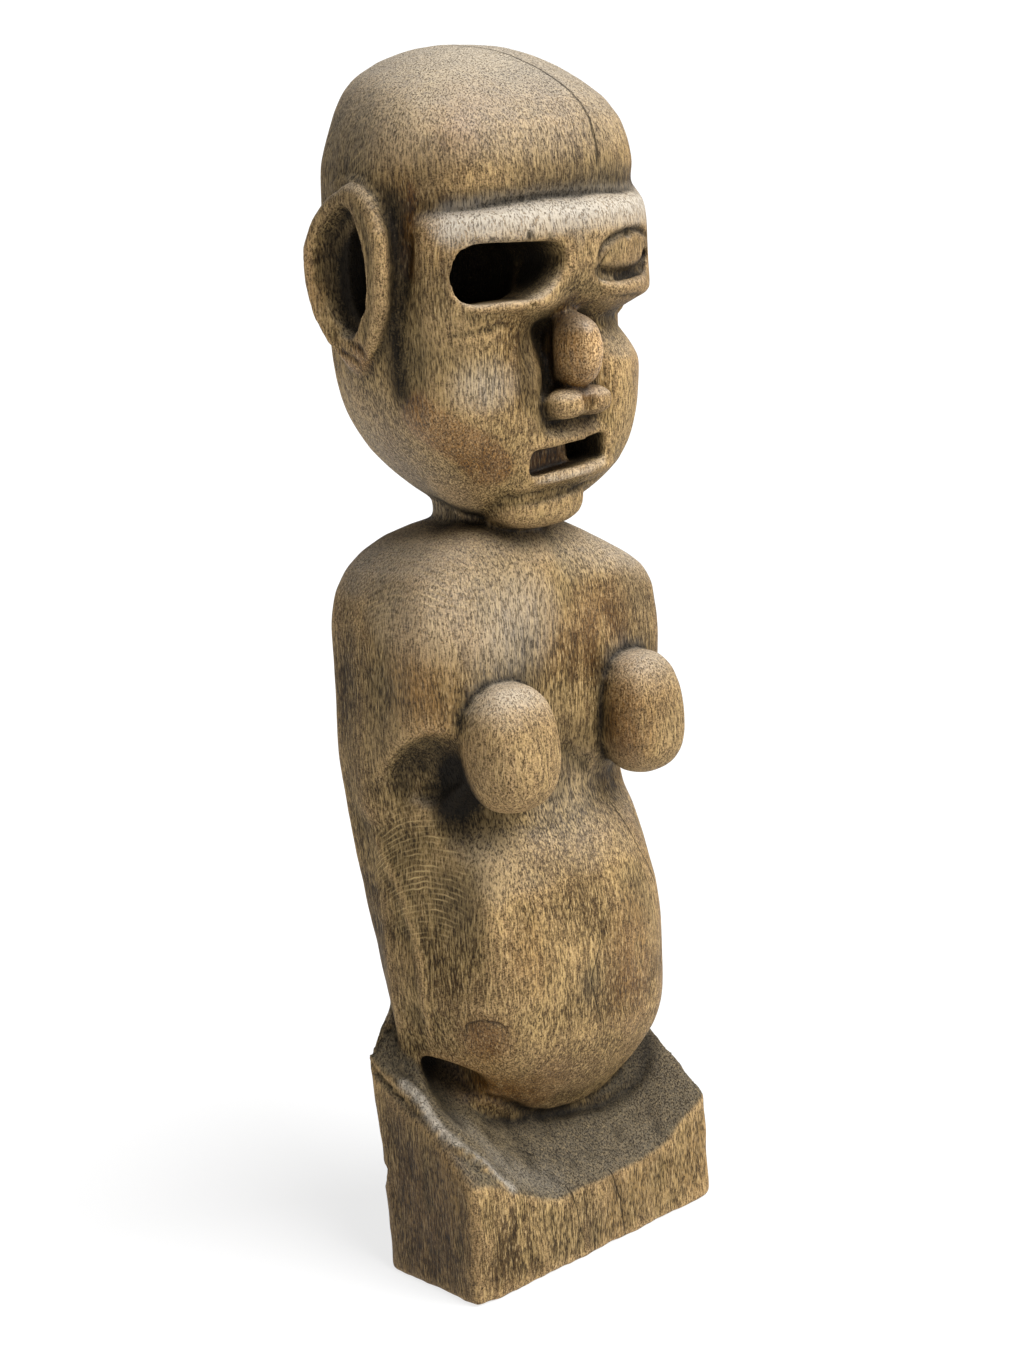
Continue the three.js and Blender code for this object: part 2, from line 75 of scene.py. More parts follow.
camera_data = bpy.data.cameras.new("camera")
camera_data.lens = FOCAL_PIXELS * SENSOR / PHOTO_HEIGHT
camera_data.sensor_width = SENSOR
camera_data.clip_start = 0.01
camera = bpy.data.objects.new("camera", camera_data)
bpy.context.collection.objects.link(camera)
turn = Matrix((right, up, -ahead)).transposed().to_4x4()
camera.matrix_world = Matrix.Translation(CAMERA_PLACE) @ turn
bpy.context.scene.camera = camera
print("lens", round(camera_data.lens, 2), "mm")

# %% [markdown]
# ## Small helpers for node trees
# Materials and Geometry Nodes are graphs of small sums. Written out node by node they hide what they
# say, so one class wraps a socket and lets Python's own signs add the Math nodes. Every other node
# comes from one function, which sets the node's settings first, because some of them change which
# sockets the node has.


# %% A socket that can be used in a sum
class Socket:
    """One output of a node, which Python's + - * / ** turn into Math nodes."""

    def __init__(self, tree, output):
        self.tree = tree
        self.output = output

    def maths(self, operation, first, second=0.0, clamp=False):
        settings = {"operation": operation, "use_clamp": clamp}
        return add_node(self.tree, "ShaderNodeMath", settings, {0: first, 1: second})

    def __add__(self, other):
        return self.maths("ADD", self, other)

    def __radd__(self, other):
        return self.maths("ADD", other, self)

    def __sub__(self, other):
        return self.maths("SUBTRACT", self, other)

    def __rsub__(self, other):
        return self.maths("SUBTRACT", other, self)

    def __mul__(self, other):
        return self.maths("MULTIPLY", self, other)

    def __rmul__(self, other):
        return self.maths("MULTIPLY", other, self)

    def __truediv__(self, other):
        return self.maths("DIVIDE", self, other)

    def __rtruediv__(self, other):
        return self.maths("DIVIDE", other, self)

    def __pow__(self, exponent):
        return self.maths("POWER", self, exponent)

    def clamped(self):
        return self.maths("ADD", self, 0.0, clamp=True)

    def size(self):
        return self.maths("ABSOLUTE", self)

    def between(self, low, high):
        """Rises smoothly from 0 at low to 1 at high."""
        sockets = {"Value": self, "From Min": low, "From Max": high}
        return add_node(self.tree, "ShaderNodeMapRange", {"interpolation_type": "SMOOTHSTEP"}, sockets)


def add_node(tree, kind, settings=None, sockets=None, output=0):
    """Adds any node: its settings first, then the values or links of its sockets."""
    node = tree.nodes.new(kind)
    for name, value in (settings or {}).items():
        setattr(node, name, value)
    for key, value in (sockets or {}).items():
        if isinstance(value, Socket):
            tree.links.new(value.output, node.inputs[key])
        else:
            node.inputs[key].default_value = value
    return Socket(tree, node.outputs[output])


# %% Geometry Nodes trees with named inputs
SOCKET_KINDS = {float: "NodeSocketFloat", "object": "NodeSocketObject", "material": "NodeSocketMaterial"}


def new_tree(name, inputs):
    """Starts a tree that takes a surface and some named inputs, and gives them back as sockets."""
    tree = bpy.data.node_groups.new(name, "GeometryNodeTree")
    tree.is_modifier = True
    tree.interface.new_socket("Surface", in_out="INPUT", socket_type="NodeSocketGeometry")
    tree.interface.new_socket("Surface", in_out="OUTPUT", socket_type="NodeSocketGeometry")
    for label, kind in {**inputs, "Finish": "material"}.items():
        tree.interface.new_socket(label, in_out="INPUT", socket_type=SOCKET_KINDS[kind])
    entry = tree.nodes.new("NodeGroupInput")
    return tree, {socket.name: Socket(tree, socket) for socket in entry.outputs if socket.name}


def end_tree(tree, surface, given):
    """Makes instances real, gives the faces their material and closes the tree."""
    real = add_node(tree, "GeometryNodeRealizeInstances", None, {"Geometry": surface})
    sockets = {"Geometry": real, "Material": given["Finish"]}
    finished = add_node(tree, "GeometryNodeSetMaterial", None, sockets)
    tree.links.new(finished.output, tree.nodes.new("NodeGroupOutput").inputs[0])


def run_tree(thing, tree, values):
    """Runs a tree on an object and keeps the result as its mesh."""
    modifier = thing.modifiers.new(tree.name, "NODES")
    modifier.node_group = tree
    for item in tree.interface.items_tree:
        if item.in_out == "INPUT" and item.name in values:
            modifier[item.identifier] = values[item.name]
    settle(thing)


def mesh_of(thing):
    """The finished mesh of an object with its modifiers applied."""
    ready = thing.evaluated_get(bpy.context.evaluated_depsgraph_get())
    return bpy.data.meshes.new_from_object(ready)


def settle(thing):
    """Makes the modifiers part of the mesh and removes them."""
    made = mesh_of(thing)
    thing.modifiers.clear()
    thing.data = made


# %% [markdown]
# ## From facets to wood
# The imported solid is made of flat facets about 8 mm wide. A carver's surface has none, so a merged copy
# is remeshed into even cells of just under one millimetre.

# %% Remesh a merged copy
CELL = 0.9 * MM
WELD_REACH = 0.01 * MM
wood = bpy.data.materials.new("carved_wood")
figure = bpy.data.objects.new("carved_figure", solid.data.copy())
bpy.context.collection.objects.link(figure)
weld = figure.modifiers.new("weld", "WELD")
weld.merge_threshold = WELD_REACH
remesh = figure.modifiers.new("remesh", "REMESH")
remesh.mode = "VOXEL"
remesh.voxel_size = CELL
settle(figure)
print("remeshed:", len(figure.data.vertices), "points")


# %% Read and write all the points at once
def read_points(mesh):
    flat = np.empty(len(mesh.vertices) * 3, dtype=np.float32)
    mesh.vertices.foreach_get("co", flat)
    return flat.reshape(-1, 3).astype(float)


def read_normals(mesh):
    flat = np.empty(len(mesh.vertices) * 3, dtype=np.float32)
    mesh.vertex_normals.foreach_get("vector", flat)
    return flat.reshape(-1, 3).astype(float)


def write_points(mesh, points):
    mesh.vertices.foreach_set("co", points.astype(np.float32).ravel())
    mesh.update()


def write_mask(mesh, name, values):
    mask = mesh.attributes.new(name, "FLOAT", "POINT")
    mask.data.foreach_set("value", values.astype(np.float32))


class Net:
    """The edges of a mesh, for taking the mean of each point's neighbours."""

    def __init__(self, mesh):
        flat = np.empty(len(mesh.edges) * 2, dtype=np.int32)
        mesh.edges.foreach_get("vertices", flat)
        self.first, self.second = flat.reshape(-1, 2).T
        self.count = len(mesh.vertices)
        self.degree = np.bincount(flat, minlength=self.count).clip(1)

    def mean(self, values):
        total = np.bincount(self.first, values[self.second], self.count)
        total += np.bincount(self.second, values[self.first], self.count)
        return total / self.degree

    def relax(self, points, strength, steps):
        points = points.copy()
        for _ in range(steps):
            for axis in range(3):
                points[:, axis] += strength * (self.mean(points[:, axis]) - points[:, axis])
        return points

    def spread(self, values, steps):
        for _ in range(steps):
            values = 0.5 * values + 0.5 * self.mean(values)
        return values

    def hollowness(self, points, normals, steps):
        """How far each point lies below its surroundings, in millimetres; ridges are negative."""
        return ((self.relax(points, 0.5, steps) - points) * normals).sum(axis=1) / MM


def ball(points, centre, radius, sharp=2.0):
    """A soft mask: 1 at a place given in millimetres, and 0 from the radius outwards."""
    reach = np.array(radius, dtype=float) * MM
    away = np.linalg.norm((points - np.array(centre) * MM) / reach, axis=1)
    return np.clip(1 - away, 0, 1) ** (1 / sharp)


# %% [markdown]
# ## Smoothing that spares the edges
# Then the surface is relaxed: each point moves towards its neighbours' mean. It relaxes strongly on the
# skull, the body and the block, and hardly at all where the knife left crisp edges: round the eyes, the
# ears, the nose and the mouth, and in every crease that the solid already has. A Smooth modifier could
# not be held back point by point in this way, so a few lines of array maths do it. The soft places are
# then relaxed once more.

# %% Relax the surface
CREASE_STEPS = 6
CREASE_DEPTH = 0.25
FULL_STRENGTH = 0.5
HELD_BY_CREASE = 0.36
HELD_BY_PLACE = 0.43
RELAX_STEPS = 30
SOFT_STEPS = 40
CRISP_PLACES = (
    ((-27, -40, 372), 30),
    ((28, -42, 372), 28),
    ((2, -45, 335), 22),
    ((2, -42, 306), 26),
    ((-62, 8, 374), 36),
    ((62, 8, 374), 36),
    ((-4, -24, 288), 24),
)
SOFT_PLACES = (
    ((-53, -14, 402), (14, 14, 22)),
    ((-53, -15, 366), (9, 9, 40)),
    ((-50, -22, 352), (14, 14, 12)),
    ((-2, -38, 363), (17, 16, 12)),
    ((-24, -36, 352), (18, 12, 9)),
    ((-52, 0, 184), (18, 34, 14)),
    ((-40, 0, 74), (24, 34, 22)),
)
points = read_points(figure.data)
normals = read_normals(figure.data)
net = Net(figure.data)
crease = net.spread(np.clip(net.hollowness(points, normals, CREASE_STEPS) / CREASE_DEPTH, 0, 1), 3)
strength = FULL_STRENGTH - HELD_BY_CREASE * np.clip(1.5 * crease, 0, 1)
for place, radius in CRISP_PLACES:
    held = FULL_STRENGTH - HELD_BY_PLACE * ball(points, place, radius, sharp=3)
    strength = np.minimum(strength, held)
points = net.relax(points, strength, RELAX_STEPS)
softness = np.zeros(len(points))
for place, radius in SOFT_PLACES:
    softness = np.maximum(softness, ball(points, place, radius, sharp=2))
write_points(figure.data, net.relax(points, FULL_STRENGTH * softness, SOFT_STEPS))
print("relaxed; held back at", int((strength < 0.3).sum()), "points")

# %% [markdown]
# ## Cuts that follow a line
# Every carved line is a path over the surface with its own width and depth: a groove goes inwards and a
# roll stands out. One Geometry Nodes tree does them all. For each point of the surface it finds the
# nearest path, reads that path's width and depth, and moves the point along its normal by a smooth
# profile. A little noise makes the tool chatter.

# %% A tree that cuts along lines
cut_tree, given = new_tree("cut_along_lines", {"Lines": "object", "Chatter": float, "Chatter size": float})
lines = add_node(cut_tree, "GeometryNodeObjectInfo", None, {"Object": given["Lines"]}, output="Geometry")


def line_value(name):
    """A value stored on the lines, read at the line point that is nearest to each surface point."""
    stored = add_node(cut_tree, "GeometryNodeInputNamedAttribute", {"data_type": "FLOAT"}, {"Name": name})
    nearest = add_node(cut_tree, "GeometryNodeSampleNearest", {"domain": "POINT"}, {"Geometry": lines})
    sockets = {"Geometry": lines, "Value": stored, "Index": nearest}
    return add_node(cut_tree, "GeometryNodeSampleIndex", {"data_type": "FLOAT", "domain": "POINT"}, sockets)


to_edges = {"target_element": "EDGES"}
away = add_node(cut_tree, "GeometryNodeProximity", to_edges, {0: lines}, output="Distance")
inside = (1 - away / line_value("cut_width")).clamped()
noise = add_node(cut_tree, "ShaderNodeTexNoise", None, {"Scale": 1 / given["Chatter size"]})
uneven = 1 + given["Chatter"] * (noise - 0.5) * 2
cut_depth = line_value("cut_depth") * inside * inside * (3 - 2 * inside) * uneven
normal = add_node(cut_tree, "GeometryNodeInputNormal")
shift = {"Vector": normal, "Scale": -1 * cut_depth}
inwards = add_node(cut_tree, "ShaderNodeVectorMath", {"operation": "SCALE"}, shift)
sockets = {"Geometry": given["Surface"], "Offset": inwards}
end_tree(cut_tree, add_node(cut_tree, "GeometryNodeSetPosition", None, sockets), given)
print("cutting tree:", len(cut_tree.nodes), "nodes")


# %% Lines that lie on the surface
LINE_STEP = 0.6 * MM
TAPERED_END = 0.2
END_WIDTH = 0.4


def along(points, step):
    """Points at even steps along a smooth curve through a few points in millimetres."""
    ends = [2 * points[0] - points[1], *points, 2 * points[-1] - points[-2]]
    dense = []
    for before, start, stop, after in zip(ends, ends[1:], ends[2:], ends[3:]):
        count = max(2, int(np.linalg.norm(stop - start) / step))
        for t in np.arange(count) / count:
            dense.append(0.5 * (
                2 * start + (stop - before) * t + (2 * before - 5 * start + 4 * stop - after) * t**2
                + (3 * start - before - 3 * stop + after) * t**3
            ))
    return [*dense, points[-1]]


def line_object(name, cuts, surface):
    """One mesh of edges that follow the cuts over the surface, with each cut's width and depth."""
    places, edges, widths, depths = [], [], [], []
    for points, width, depth in cuts:
        start = len(places)
        for place in along([np.array(p) * MM for p in points], LINE_STEP):
            places.append(surface.find_nearest(Vector(place))[0])
        share = np.linspace(0, 1, len(places) - start)
        taper = np.clip(np.minimum(share, 1 - share) / TAPERED_END, 0, 1) ** 0.6
        widths.extend(width * MM * (END_WIDTH + (1 - END_WIDTH) * taper))
        depths.extend(depth * MM * taper)
        edges.extend((i, i + 1) for i in range(start, len(places) - 1))
    mesh = bpy.data.meshes.new(name)
    mesh.from_pydata(places, edges, [])
    write_mask(mesh, "cut_width", np.array(widths))
    write_mask(mesh, "cut_depth", np.array(depths))
    thing = bpy.data.objects.new(name, mesh)
    bpy.context.collection.objects.link(thing)
    return thing


def carve(name, cuts, chatter=0.3, chatter_size=3.0):
    """Cuts a set of lines into the figure."""
    surface = BVHTree.FromObject(figure, bpy.context.evaluated_depsgraph_get())
    guide = line_object(name, cuts, surface)
    values = {"Lines": guide, "Chatter": chatter, "Chatter size": chatter_size * MM, "Finish": wood}
    run_tree(figure, cut_tree, values)
    bpy.data.objects.remove(guide)
    print(name, len(cuts), "cuts")


# %% [markdown]
# ## The face
# The face is carved in a few decided steps: a step under the forehead, a slanting brow band, a slit for
# one eye and an almond for the other, deep grooves beside the nose, and a lip with its crease.
# Each line below is given by a few points near the surface, and the helper lays it on the wood.

# %% Grooves of the face
carve("face_grooves", [
    ([(-48, -22, 394), (-37, -32, 395), (-13, -39, 397), (5, -40, 397), (28, -37, 397), (44, -28, 397)],
     1.8, 1.0),
    ([(7, -46, 373), (11, -46, 379), (22, -42, 382.5), (34, -37, 383), (44, -31, 380)], 2.4, 2.0),
    ([(7, -46, 372), (12, -46, 369), (24, -41, 367.5), (38, -36, 368.5), (45, -31, 375)], 3.0, 1.6),
    ([(-4, -30, 355), (-6, -31, 344), (-7, -30, 331), (-10, -34, 324)], 3.6, 1.6),
    ([(8, -31, 355), (10, -31, 344), (11, -31, 333), (13, -34, 324)], 3.2, 1.2),
    ([(1.5, -45, 330), (1.5, -46, 326), (1.5, -44, 321)], 2.0, 0.9),
    ([(-24, -18, 290.5), (-14, -27, 291.5), (-1, -30, 292.8), (19, -24, 294.5), (27, -21, 296)], 1.7, 0.8),
    ([(-18, -33, 352), (-20, -34, 342), (-21, -35, 332), (-19, -35, 322)], 7.0, 1.1),
    ([(-52, -16, 388), (-53, -13, 375), (-54, -10, 360), (-55, -8, 345)], 4.0, 1.0),
    ([(12, -45, 357), (24, -43, 357.5), (37, -36, 358)], 2.2, 0.7),
])

# %% Rolls and edges of the face
carve("face_rolls", [
    ([(9, -44, 365.5), (16, -43, 364), (25, -42, 364), (39, -36, 365.5)], 3.6, -1.4),
    ([(-19, -32, 298.2), (-6, -34, 299.3), (5, -35, 300.4), (15, -33, 301.6)], 3.0, -0.9),
    ([(-46, -33, 361.8), (-36, -39, 361.2), (-24, -42, 361.2)], 2.6, -0.8),
    ([(-23, 6, 289), (-21, 1, 286), (-18, -4, 284), (-14, -12, 282)], 2.4, -0.8),
    ([(-54, 23, 404), (-56, 11, 405), (-59, 0, 402), (-60, -6, 395), (-61, -9, 386), (-61, -9, 376),
      (-60, -7, 365), (-60, -4, 356), (-59, 5, 346)], 6.0, -1.6),
    ([(-63, 26, 394), (-65, 29, 378), (-64, 27, 362), (-61, 20, 350)], 4.0, -0.7),
    ([(54, 23, 404), (56, 11, 405), (59, 0, 402), (61, -9, 386), (60, -7, 365), (59, 5, 346)], 4.6, -1.1),
])

# %% Chips and fine tool lines of the face
carve("face_lines", [
    ([(-49, -28, 353), (-40, -34, 354), (-28, -36, 356)], 1.8, 0.5),
    ([(-21, -34, 353), (-27, -35, 348), (-30, -35, 343)], 1.6, 0.4),
    ([(-36, -38, 384.5), (-36, -39, 381)], 1.8, 1.2),
    ([(-31, -40, 385), (-31, -41, 381)], 1.6, 1.0),
    ([(-22, -41, 386), (-22, -42, 381)], 2.0, 1.5),
    ([(-14, -43, 385), (-14, -43, 381)], 1.5, 0.9),
    ([(-42, -35, 384.5), (-42, -36, 381)], 1.6, 0.9),
    ([(-23, -42, 363), (-21.5, -42, 360)], 2.4, 1.6),
    ([(-62, 12, 352), (-61, 6, 350), (-60, 3, 346)], 1.8, 0.7),
    ([(-61, 18, 349), (-61, 11, 346), (-60, 7, 342.5)], 1.8, 0.7),
    ([(-61, 20, 353), (-62, 14, 356), (-62, 8, 355)], 1.8, 0.5),
])

# %% [markdown]
# ## The body
# The side of the body is a flat plane that meets the belly in a ridge. Under the right breast the gouge
# dug a dark hollow, and under the hip it went in between the belly and the outer ridge of the block,
# which broke away in splinters. So the ridge and the corners of the block are given a strong chatter.

# %% Ridges and hollows of the body
carve("body_forms", [
    ([(-41, -14, 196), (-46, -8, 193), (-52, 3, 187)], 7.0, 2.6),
    ([(-57, 23, 173), (-56, 18, 163), (-55, 10, 146), (-55, 4, 126), (-54, 3, 103), (-51, 6, 88)],
     4.0, -0.8),
    ([(-38, 8, 73), (-35, 1, 69), (-28, -5, 65), (-13, -4, 55), (3, -4, 49), (20, -7, 47), (32, -8, 48),
      (45, -8, 52), (54, -4, 59)], 3.6, 1.3),
    ([(-2, -22, 200), (6, -22, 192), (16, -23, 186)], 5.0, 1.2),
    ([(-64, 23, 44), (-64, 27, 38), (-63, 31, 34)], 3.4, 1.6),
], chatter=0.4, chatter_size=5.0)
carve("broken_edges", [
    ([(-61, 22, 83), (-60.5, 16, 79), (-59, 4.5, 73), (-60, -5, 65.5), (-58, -15, 58.5), (-52, -22, 51),
      (-44, -26, 41)], 3.4, -1.5),
    ([(-63, 30, 84), (-63, 22, 78), (-63, 10, 72), (-63, 0, 67)], 2.6, 1.2),
    ([(64, 22, 74), (64, 8, 66), (63, -6, 58), (63, -18, 50), (62, -25, 43)], 2.6, 1.2),
    ([(-50, 27, 94), (-56, 28, 90), (-62, 29, 85)], 3.0, 1.2),
], chatter=1.6, chatter_size=2.4)

# %% [markdown]
# ## The surface of hand tools
# Between the decided cuts, the whole surface is slightly uneven: long soft waves from the adze, and on
# the rough block and scoop small flat bites. A second tree adds both with noise of a fixed place, scaled
# by a mask, so that the polished head stays smoother than the block.

# %% Mask of roughness
BLOCK_TOP = 66
BLOCK_SLOPE = 0.35
SMOOTH_SHARE = 0.25
points = read_points(figure.data)
block_line = BLOCK_TOP + BLOCK_SLOPE * points[:, 1] / MM
block = 1 / (1 + np.exp((points[:, 2] / MM - block_line) / 3))
write_mask(figure.data, "tool_roughness", np.clip(SMOOTH_SHARE + (1 - SMOOTH_SHARE) * block, 0, 1))
print("points on the rough block:", int((block > 0.5).sum()))

# %% A tree for waves and bites
tool_sizes = {
    "Wave": 0.8 * MM, "Wave size": 24 * MM,
    "Bite": 0.8 * MM, "Bite size": 6 * MM,
    "Fray": 0.15 * MM, "Seed": 3.0,
}
tool_tree, given = new_tree("hand_tooling", {name: float for name in tool_sizes})
place = add_node(tool_tree, "GeometryNodeInputPosition")
rough_setting = {"data_type": "FLOAT"}
rough = add_node(tool_tree, "GeometryNodeInputNamedAttribute", rough_setting, {"Name": "tool_roughness"})


def squeezed(along_grain):
    """The place on the figure with its height squeezed, which draws a texture out along the grain."""
    sockets = {0: place, 1: (1, 1, along_grain)}
    return add_node(tool_tree, "ShaderNodeVectorMath", {"operation": "MULTIPLY"}, sockets)


wave = add_node(tool_tree, "ShaderNodeTexNoise", {"noise_dimensions": "4D"}, {
    "Vector": place, "W": given["Seed"], "Scale": 1 / given["Wave size"], "Detail": 1.5,
})
bite = add_node(tool_tree, "ShaderNodeTexVoronoi", {"voronoi_dimensions": "4D", "feature": "SMOOTH_F1"}, {
    "Vector": squeezed(0.45), "W": given["Seed"], "Scale": 1 / given["Bite size"], "Smoothness": 0.35,
})
fray = add_node(tool_tree, "ShaderNodeTexNoise", {"noise_dimensions": "4D"}, {
    "Vector": squeezed(0.12), "W": given["Seed"], "Scale": 420.0, "Detail": 3.0,
})
lift = (wave - 0.5) * given["Wave"] * 2 + (bite - 0.5) * given["Bite"] * rough
lift = lift + (fray - 0.5) * given["Fray"]
shift = {"Vector": add_node(tool_tree, "GeometryNodeInputNormal"), "Scale": lift}
outwards = add_node(tool_tree, "ShaderNodeVectorMath", {"operation": "SCALE"}, shift)
sockets = {"Geometry": given["Surface"], "Offset": outwards}
end_tree(tool_tree, add_node(tool_tree, "GeometryNodeSetPosition", None, sockets), given)
run_tree(figure, tool_tree, {**tool_sizes, "Finish": wood})
print("tooled:", len(figure.data.vertices), "points")

# %% [markdown]
# ## A lighter mesh
# The remeshed cells are even, but flat parts don't need so many. Decimate keeps the small triangles
# where the surface turns, and brings the piece under the limit that it has to keep.

# %% Thin the mesh
TRIANGLE_LIMIT = 194_000
thin = figure.modifiers.new("thin", "DECIMATE")
thin.ratio = min(1.0, TRIANGLE_LIMIT / (2 * len(figure.data.vertices)))
settle(figure)
figure.data.shade_smooth()
print("finished mesh:", sum(len(p.vertices) - 2 for p in figure.data.polygons), "triangles")

# %% [markdown]
# ## Where the years show, and painted shade
# Dirt and painted shade gather in hollows, hands polish what stands out, and dust settles on what faces up.
# These are worked out from the mesh and stored on its points, so they stay right when the shape is
# changed: hollowness from relaxing a copy, and shelter by casting rays and counting what they hit nearby.

# %% Measure shelter
RAY_START = 0.8 * MM
SHELTER_REACH = 45 * MM
FINE_STEPS = 9
BROAD_STEPS = 45


def measure_shelter(points, normals, reach, stride=4, rays=22):
    """The share of rays over each point that hit the figure within a reach, from 0 to 1."""
    surface = BVHTree.FromObject(figure, bpy.context.evaluated_depsgraph_get())
    turns = np.arange(rays) * math.pi * (3 - math.sqrt(5))
    heights = 1 - (2 * np.arange(rays) + 1) / rays
    level = np.sqrt(1 - heights**2)
    fan = np.stack([level * np.cos(turns), level * np.sin(turns), heights], axis=1)
    tree = KDTree(len(points) // stride + 1)
    found = []
    for index in range(0, len(points), stride):
        normal = normals[index]
        start = Vector(points[index] + normal * RAY_START)
        hits = 0
        for ray in fan:
            direction = Vector(normal * 1.05 + ray)
            hits += surface.ray_cast(start, direction.normalized(), reach)[0] is not None
        tree.insert(Vector(points[index]), len(found))
        found.append(hits / rays)
    tree.balance()
    return np.array([found[tree.find(Vector(p))[1]] for p in points])


points = read_points(figure.data)
normals = read_normals(figure.data)
net = Net(figure.data)
shelter = net.spread(measure_shelter(points, normals, SHELTER_REACH), 3)
fine_hollow = net.hollowness(points, normals, FINE_STEPS)
broad_hollow = net.hollowness(points, normals, BROAD_STEPS)
print("shelter from", round(shelter.min(), 2), "to", round(shelter.max(), 2))
print("hollows, fine", np.percentile(fine_hollow, (2, 50, 98)).round(3))
print("hollows, broad", np.percentile(broad_hollow, (2, 50, 98)).round(3))

# %% [markdown]
# ## Stains of use, and painted shade
# What the mesh can't tell was read from the photograph: where the soot and the painted shade are, where
# a cheek was rubbed and where dust lies. Painting by hand would do it too, but would be lost whenever the
# mesh is remade.
# Soft balls and soft bands along lines, given in millimetres, are found again on any mesh.


# %% Masks from places and from lines
def from_places(places):
    """The strongest of some soft balls, each given by its place, its half sizes and its amount."""
    total = np.zeros(len(points))
    for place, radius, amount in places:
        total = np.maximum(total, amount * ball(points, place, radius, sharp=1.5))
    return total


def from_lines(lines):
    """The strongest of some soft bands along lines, each given by its points, half width and amount."""
    total = np.zeros(len(points))
    for line, width, amount in lines:
        places = along([np.array(p) * MM for p in line], 2 * MM)
        tree = KDTree(len(places))
        for index, place in enumerate(places):
            tree.insert(Vector(place), index)
        tree.balance()
        distance = np.array([tree.find(Vector(p))[2] for p in points])
        total = np.maximum(total, amount * np.clip(1 - distance / (width * MM), 0, 1) ** 0.7)
    return total


# %% Grime and painted shade in hollows, wear on ridges, and a painted sheen on the nose
FINE_DEPTH = 0.25
BROAD_DEPTH = 0.9
OPEN_SHELTER = 0.42
CLOSED_SHELTER = 0.82


def share_of(values, none, full):
    """0 where the values are at or below none, and 1 from full upwards."""
    return np.clip((values - none) / (full - none), 0, 1)


# Grime with painted shade: darker with hollowness and shelter, near-black in the eye and ear holes, in the
# hollow under the breast, under the chin and along the grooves by the nose, the brow and the far eye
grime_and_shade = share_of(fine_hollow, 0, FINE_DEPTH) * 0.5 + share_of(broad_hollow, 0, BROAD_DEPTH) * 0.5
grime_and_shade = np.clip(grime_and_shade + share_of(shelter, OPEN_SHELTER, CLOSED_SHELTER), 0, 1)
grime_and_shade = np.maximum(grime_and_shade, from_lines([
    ([(-54, -9, 398), (-54, -9, 382), (-55, -7, 365), (-55, -7, 350), (-55, -8, 334)], 6.5, 1.1),
    ([(-4, -30, 355), (-6, -31, 344), (-7, -30, 331), (-11, -33, 322)], 7.0, 1.0),
    ([(9, -31, 355), (11, -31, 344), (12, -31, 333), (14, -34, 324)], 4.0, 0.9),
    ([(-48, -22, 395.5), (-37, -32, 396.5), (-13, -38, 398.5), (5, -39, 399), (28, -36, 399.5),
      (44, -28, 399.5)], 5.5, 0.62),
    ([(8, -45, 371), (15, -44, 369.5), (27, -40, 369), (40, -35, 370)], 4.0, 1.2),
    ([(8, -45, 375), (12, -45, 379), (22, -41, 382), (34, -36, 382.5), (44, -31, 379)], 2.6, 0.9),
    ([(-17, -33, 352), (-19, -34, 342), (-19, -35, 332), (-16, -35, 324)], 9.0, 0.5),
    ([(-38, 8, 75), (-35, 1, 70), (-28, -5, 65), (-13, -4, 55), (3, -4, 49), (20, -7, 47), (32, -8, 48),
      (45, -8, 52), (56, -2, 62)], 6.5, 0.9),
    ([(-20, -8, 282), (-8, -16, 279), (10, -16, 279), (20, -10, 280)], 9.0, 0.75),
]))
grime_and_shade = np.maximum(grime_and_shade, from_places((
    ((-43, -12, 190), (15, 16, 22), 2.0),
    ((-26, -26, 374), (26, 10, 14), 2.0),
    ((-13, -28, 374), (13, 10, 12), 2.0),
    ((-51, 12, 372), (11, 15, 27), 2.2),
    ((-46, -11, 152), (12, 14, 20), 0.35),
    ((-32, -18, 180), (14, 14, 15), 0.7),
    ((2, -26, 196), (20, 16, 18), 0.75),
    ((-4, -38, 354), (13, 10, 8), 0.75),
    ((-18, -34, 342), (6, 8, 16), 0.5),
    ((4, -38, 317), (16, 10, 7), 0.6),
    ((48, -24, 176), (12, 16, 20), 0.5),
)))
for place, radius, cleaned in (((-34, 0, 72), (18, 18, 16), 0.65), ((4, -24, 76), (44, 14, 20), 0.6)):
    grime_and_shade = grime_and_shade * (1 - cleaned * ball(points, place, radius, sharp=2))
wear_and_sheen = share_of(-fine_hollow, 0, FINE_DEPTH) * 0.5 + share_of(-broad_hollow, 0, BROAD_DEPTH) * 0.4
# The first ball here is a painted sheen on the nose, a pale highlight laid with the wear on ridges
wear_and_sheen = np.maximum(wear_and_sheen, from_places((
    ((2, -48, 345), (11, 11, 17), 2.0),
    ((-17, -32, 318), (5, 5, 5), 0.5),
)))

# %% Soot on ledges, painted shade on the block's shaded side and above the brow, and dust on top of the head and shoulders
LEDGE_LOWEST = 22
LEDGE_HIGHEST = 96
upward = np.clip(normals[:, 2], 0, 1)
height = points[:, 2] / MM
ledges = share_of(upward, 0.2, 0.45) * (height > LEDGE_LOWEST) * (height < LEDGE_HIGHEST)
